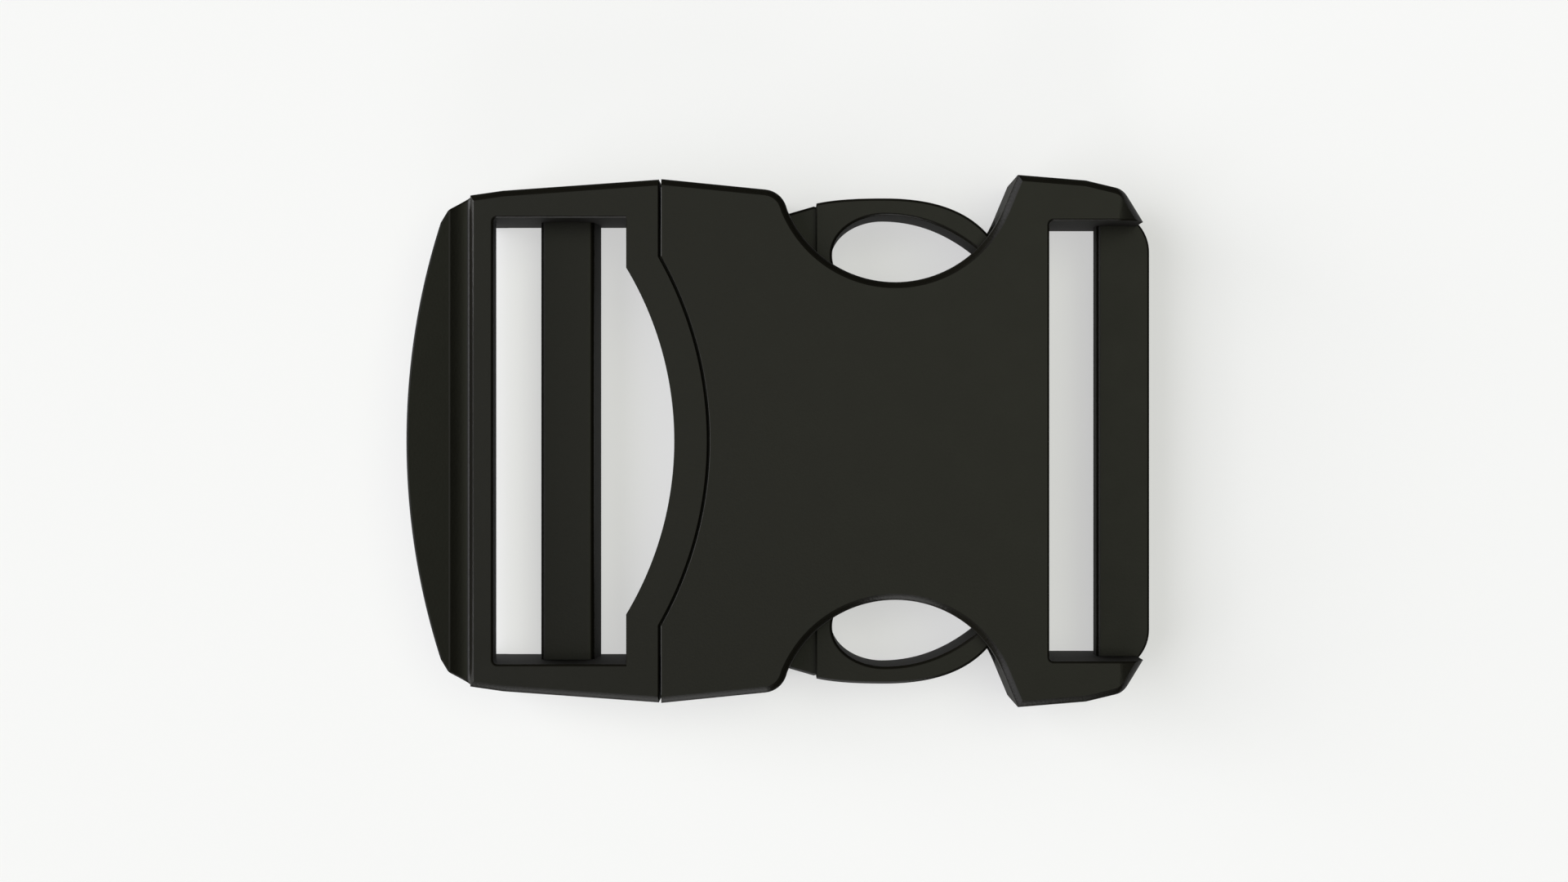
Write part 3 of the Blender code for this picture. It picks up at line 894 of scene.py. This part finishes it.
# %% Mix the acetal
ACETAL_IOR = 1.48
SHEEN_LEVEL = 0.2  # pits scatter most of what a smooth surface would mirror
PIT = 0.28  # real spark pits are nearer 0.05 mm, too fine to show, so they are drawn coarser
PIT_DEPTH, PIT_BLUR, PIT_STRENGTH = 0.02, 0.6, 0.35
MOTTLE, MOTTLE_DETAIL = 3.5, 3.0  # slow change of sheen where the melt cooled at different rates


def bare_acetal(name, seed):
    """Carbon-black acetal, and the mottling that its sheen will follow too."""
    plastic = bpy.data.materials.new(name)
    plastic.use_nodes = True
    tree = plastic.node_tree
    shader = tree.nodes["Principled BSDF"]
    shader.inputs["IOR"].default_value = ACETAL_IOR
    shader.inputs["Specular IOR Level"].default_value = SHEEN_LEVEL
    shader.inputs["Metallic"].default_value = 0.0
    place = add_node(tree, "ShaderNodeTexCoord").outputs["Object"]
    mottle = add_node(
        tree,
        "ShaderNodeTexNoise",
        {"noise_dimensions": "4D"},
        {"Vector": place, "W": seed, "Scale": 1.0 / (MOTTLE * MM), "Detail": MOTTLE_DETAIL},
    ).outputs["Fac"]
    tones = {"Factor": mottle, "A": linear(BLACKS[0]), "B": linear(BLACKS[1])}
    colour = add_node(tree, "ShaderNodeMix", {"data_type": "RGBA"}, tones)
    tree.links.new(colour.outputs["Result"], shader.inputs["Base Color"])
    pits = add_node(
        tree,
        "ShaderNodeTexVoronoi",
        {"feature": "SMOOTH_F1"},
        {"Vector": place, "Scale": 1.0 / (PIT * MM), "Smoothness": PIT_BLUR},
    ).outputs["Distance"]
    dents = {"Height": pits, "Strength": PIT_STRENGTH, "Distance": PIT_DEPTH * MM}
    bump = add_node(tree, "ShaderNodeBump", {}, dents)
    tree.links.new(bump.outputs["Normal"], shader.inputs["Normal"])
    return plastic, mottle


print("pits and mottling in mm:", PIT, MOTTLE)

# %% [markdown]
# How level a surface lies tells how it was made, because the mould opens up and down. Flats keep
# the spark-eroded satin. Rims lean a little, and are rubbed smooth by webbing and fingers. Side
# walls stand upright, drag along the steel as the mould opens, and come out duller.

# %% Finish flats, rims and side walls
FLAT_ROUGHNESS, UNEVENNESS = 0.42, 0.05
RIM_ROUGHNESS, WALL_ROUGHNESS = 0.24, 0.78
RIM_LEVELNESS, WALL_LEVELNESS = (0.86, 0.93), (0.1, 0.45)  # where each finish is full, and gone


def moulded_acetal(name, seed):
    """Acetal from a spark-eroded mould: satin flats, polished rims and dull side walls."""
    plastic, mottle = bare_acetal(name, seed)
    tree = plastic.node_tree
    satin = {"To Min": FLAT_ROUGHNESS - UNEVENNESS, "To Max": FLAT_ROUGHNESS + UNEVENNESS}
    roughness = add_node(tree, "ShaderNodeMapRange", {}, {"Value": mottle, **satin})
    facing = add_node(tree, "ShaderNodeTexCoord").outputs["Normal"]
    upright = add_node(tree, "ShaderNodeSeparateXYZ", {}, {"Vector": facing}).outputs["Z"]
    levelness = add_node(tree, "ShaderNodeMath", {"operation": "ABSOLUTE"}, {0: upright})
    finishes = ((RIM_LEVELNESS, RIM_ROUGHNESS), (WALL_LEVELNESS, WALL_ROUGHNESS))
    for (full, gone), finish in finishes:
        fade = {"From Min": full, "From Max": gone, "To Min": 1.0, "To Max": 0.0}
        share = add_node(
            tree,
            "ShaderNodeMapRange",
            {"interpolation_type": "SMOOTHSTEP"},
            {"Value": levelness.outputs["Value"], **fade},
        ).outputs["Result"]
        blend = {"Factor": share, "A": roughness.outputs["Result"], "B": finish}
        roughness = add_node(tree, "ShaderNodeMix", {"data_type": "FLOAT"}, blend)
    shader = tree.nodes["Principled BSDF"]
    tree.links.new(roughness.outputs["Result"], shader.inputs["Roughness"])
    return plastic


socket_acetal = moulded_acetal("socket_black_acetal", 1.0)
plug_acetal = moulded_acetal("plug_black_acetal", 2.0)
arm_acetal = moulded_acetal("arm_black_acetal", 3.0)
print("materials:", [material.name for material in bpy.data.materials])

# %% [markdown]
# ## Joining the frame
# The socket and the plug ride on their bodies, and each moulding stands for the plain solids it
# replaces. The arms stay where they were built, in the frame's own places.

# %% Ride and replace
socket.data.materials.clear()
socket.data.materials.append(socket_acetal)
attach(socket, "socket")
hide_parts("socket_shell", "socket_strap_bar")

plug.data.materials.clear()
plug.data.materials.append(plug_acetal)
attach(plug, "plug")
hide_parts("plug_frame", "plug_lift_tab", "plug_ladder_bar", "plug_guide_tongue")
print("mouldings that ride:", socket.name, plug.name)

for side, sign in (("left", 1.0), ("right", -1.0)):
    arm = arms[side]
    arm.data.materials.clear()
    arm.data.materials.append(arm_acetal)
    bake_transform(arm)
    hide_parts(side + "_latch_arm", side + "_thumb_loop")

# %% [markdown]
# ## Floor and light
# The buckle lies on a plain near-white sheet that glows a little, so that it stays white under
# soft light and the shadow stays pale.

# %% Lay the floor
FLOOR_HALF, SHEET_ROUGHNESS, SHEET_SHEEN, SHEET_GLOW = 4000.0, 0.95, 0.1, 0.52
floor_shape = bmesh.new()
corners = [(-1, -1), (1, -1), (1, 1), (-1, 1)]
floor_shape.faces.new(
    [floor_shape.verts.new((x * FLOOR_HALF * MM, y * FLOOR_HALF * MM, 0.0)) for x, y in corners]
)
floor = new_piece("white_sheet", floor_shape)
paper = bpy.data.materials.new("glowing_white_sheet")
paper.use_nodes = True
paper_shader = paper.node_tree.nodes["Principled BSDF"]
paper_shader.inputs["Base Color"].default_value = linear("#A9A9A9")
paper_shader.inputs["Roughness"].default_value = SHEET_ROUGHNESS
paper_shader.inputs["Specular IOR Level"].default_value = SHEET_SHEEN
paper_shader.inputs["Emission Color"].default_value = linear("#FFFFFF")
paper_shader.inputs["Emission Strength"].default_value = SHEET_GLOW
floor.data.materials.append(paper)
print("sheet's half width in mm:", FLOOR_HALF)

# %% [markdown]
# Most of the light is a wall of soft light on the left, so the rims that face it glow and the shadow
# falls away to the right. A lower strip beside it and one at the near edge draw the lines along the
# rims. A dim panel overhead gives the flats their grey, with a slight olive tint.

# %% Hang the lights
def distant_softbox(name, azimuth, elevation, strength, angle, colour="#FFFFFF"):
    """A soft source far away, so that it lights the whole sheet evenly."""
    data = bpy.data.lights.new(name, "SUN")
    data.color = linear(colour)[:3]
    data.energy = strength
    data.angle = math.radians(angle)
    lamp = bpy.data.objects.new(name, data)
    turn, rise = math.radians(azimuth), math.radians(elevation)
    towards = Vector(
        (math.cos(rise) * math.cos(turn), math.cos(rise) * math.sin(turn), math.sin(rise))
    )
    lamp.rotation_mode = "QUATERNION"
    lamp.rotation_quaternion = towards.to_track_quat("Z", "Y")
    bpy.context.scene.collection.objects.link(lamp)
    return lamp


lamps = [
    distant_softbox(
        "left_wall_softbox", azimuth=180.0, elevation=36.0, strength=3.05, angle=66.0, colour="#F9F9FF"
    ),
    distant_softbox("left_strip", azimuth=172.0, elevation=17.0, strength=1.4, angle=32.0),
    distant_softbox("near_strip", azimuth=268.0, elevation=20.0, strength=0.65, angle=28.0),
    distant_softbox(
        "overhead_panel", azimuth=28.0, elevation=75.0, strength=0.9, angle=42.0, colour="#FAFFE4"
    ),
]
print("lights and strengths:", [(lamp.name, round(lamp.data.energy, 2)) for lamp in lamps])

# %% Dim the room
ROOM_STRENGTH = 0.04

room = bpy.data.worlds.new("dim_room")
room.use_nodes = True
backdrop = room.node_tree.nodes["Background"]
backdrop.inputs["Color"].default_value = linear("#F4F6F8")
backdrop.inputs["Strength"].default_value = ROOM_STRENGTH
bpy.context.scene.world = room
bpy.context.scene.view_settings.view_transform = "Standard"
print("room strength:", ROOM_STRENGTH)
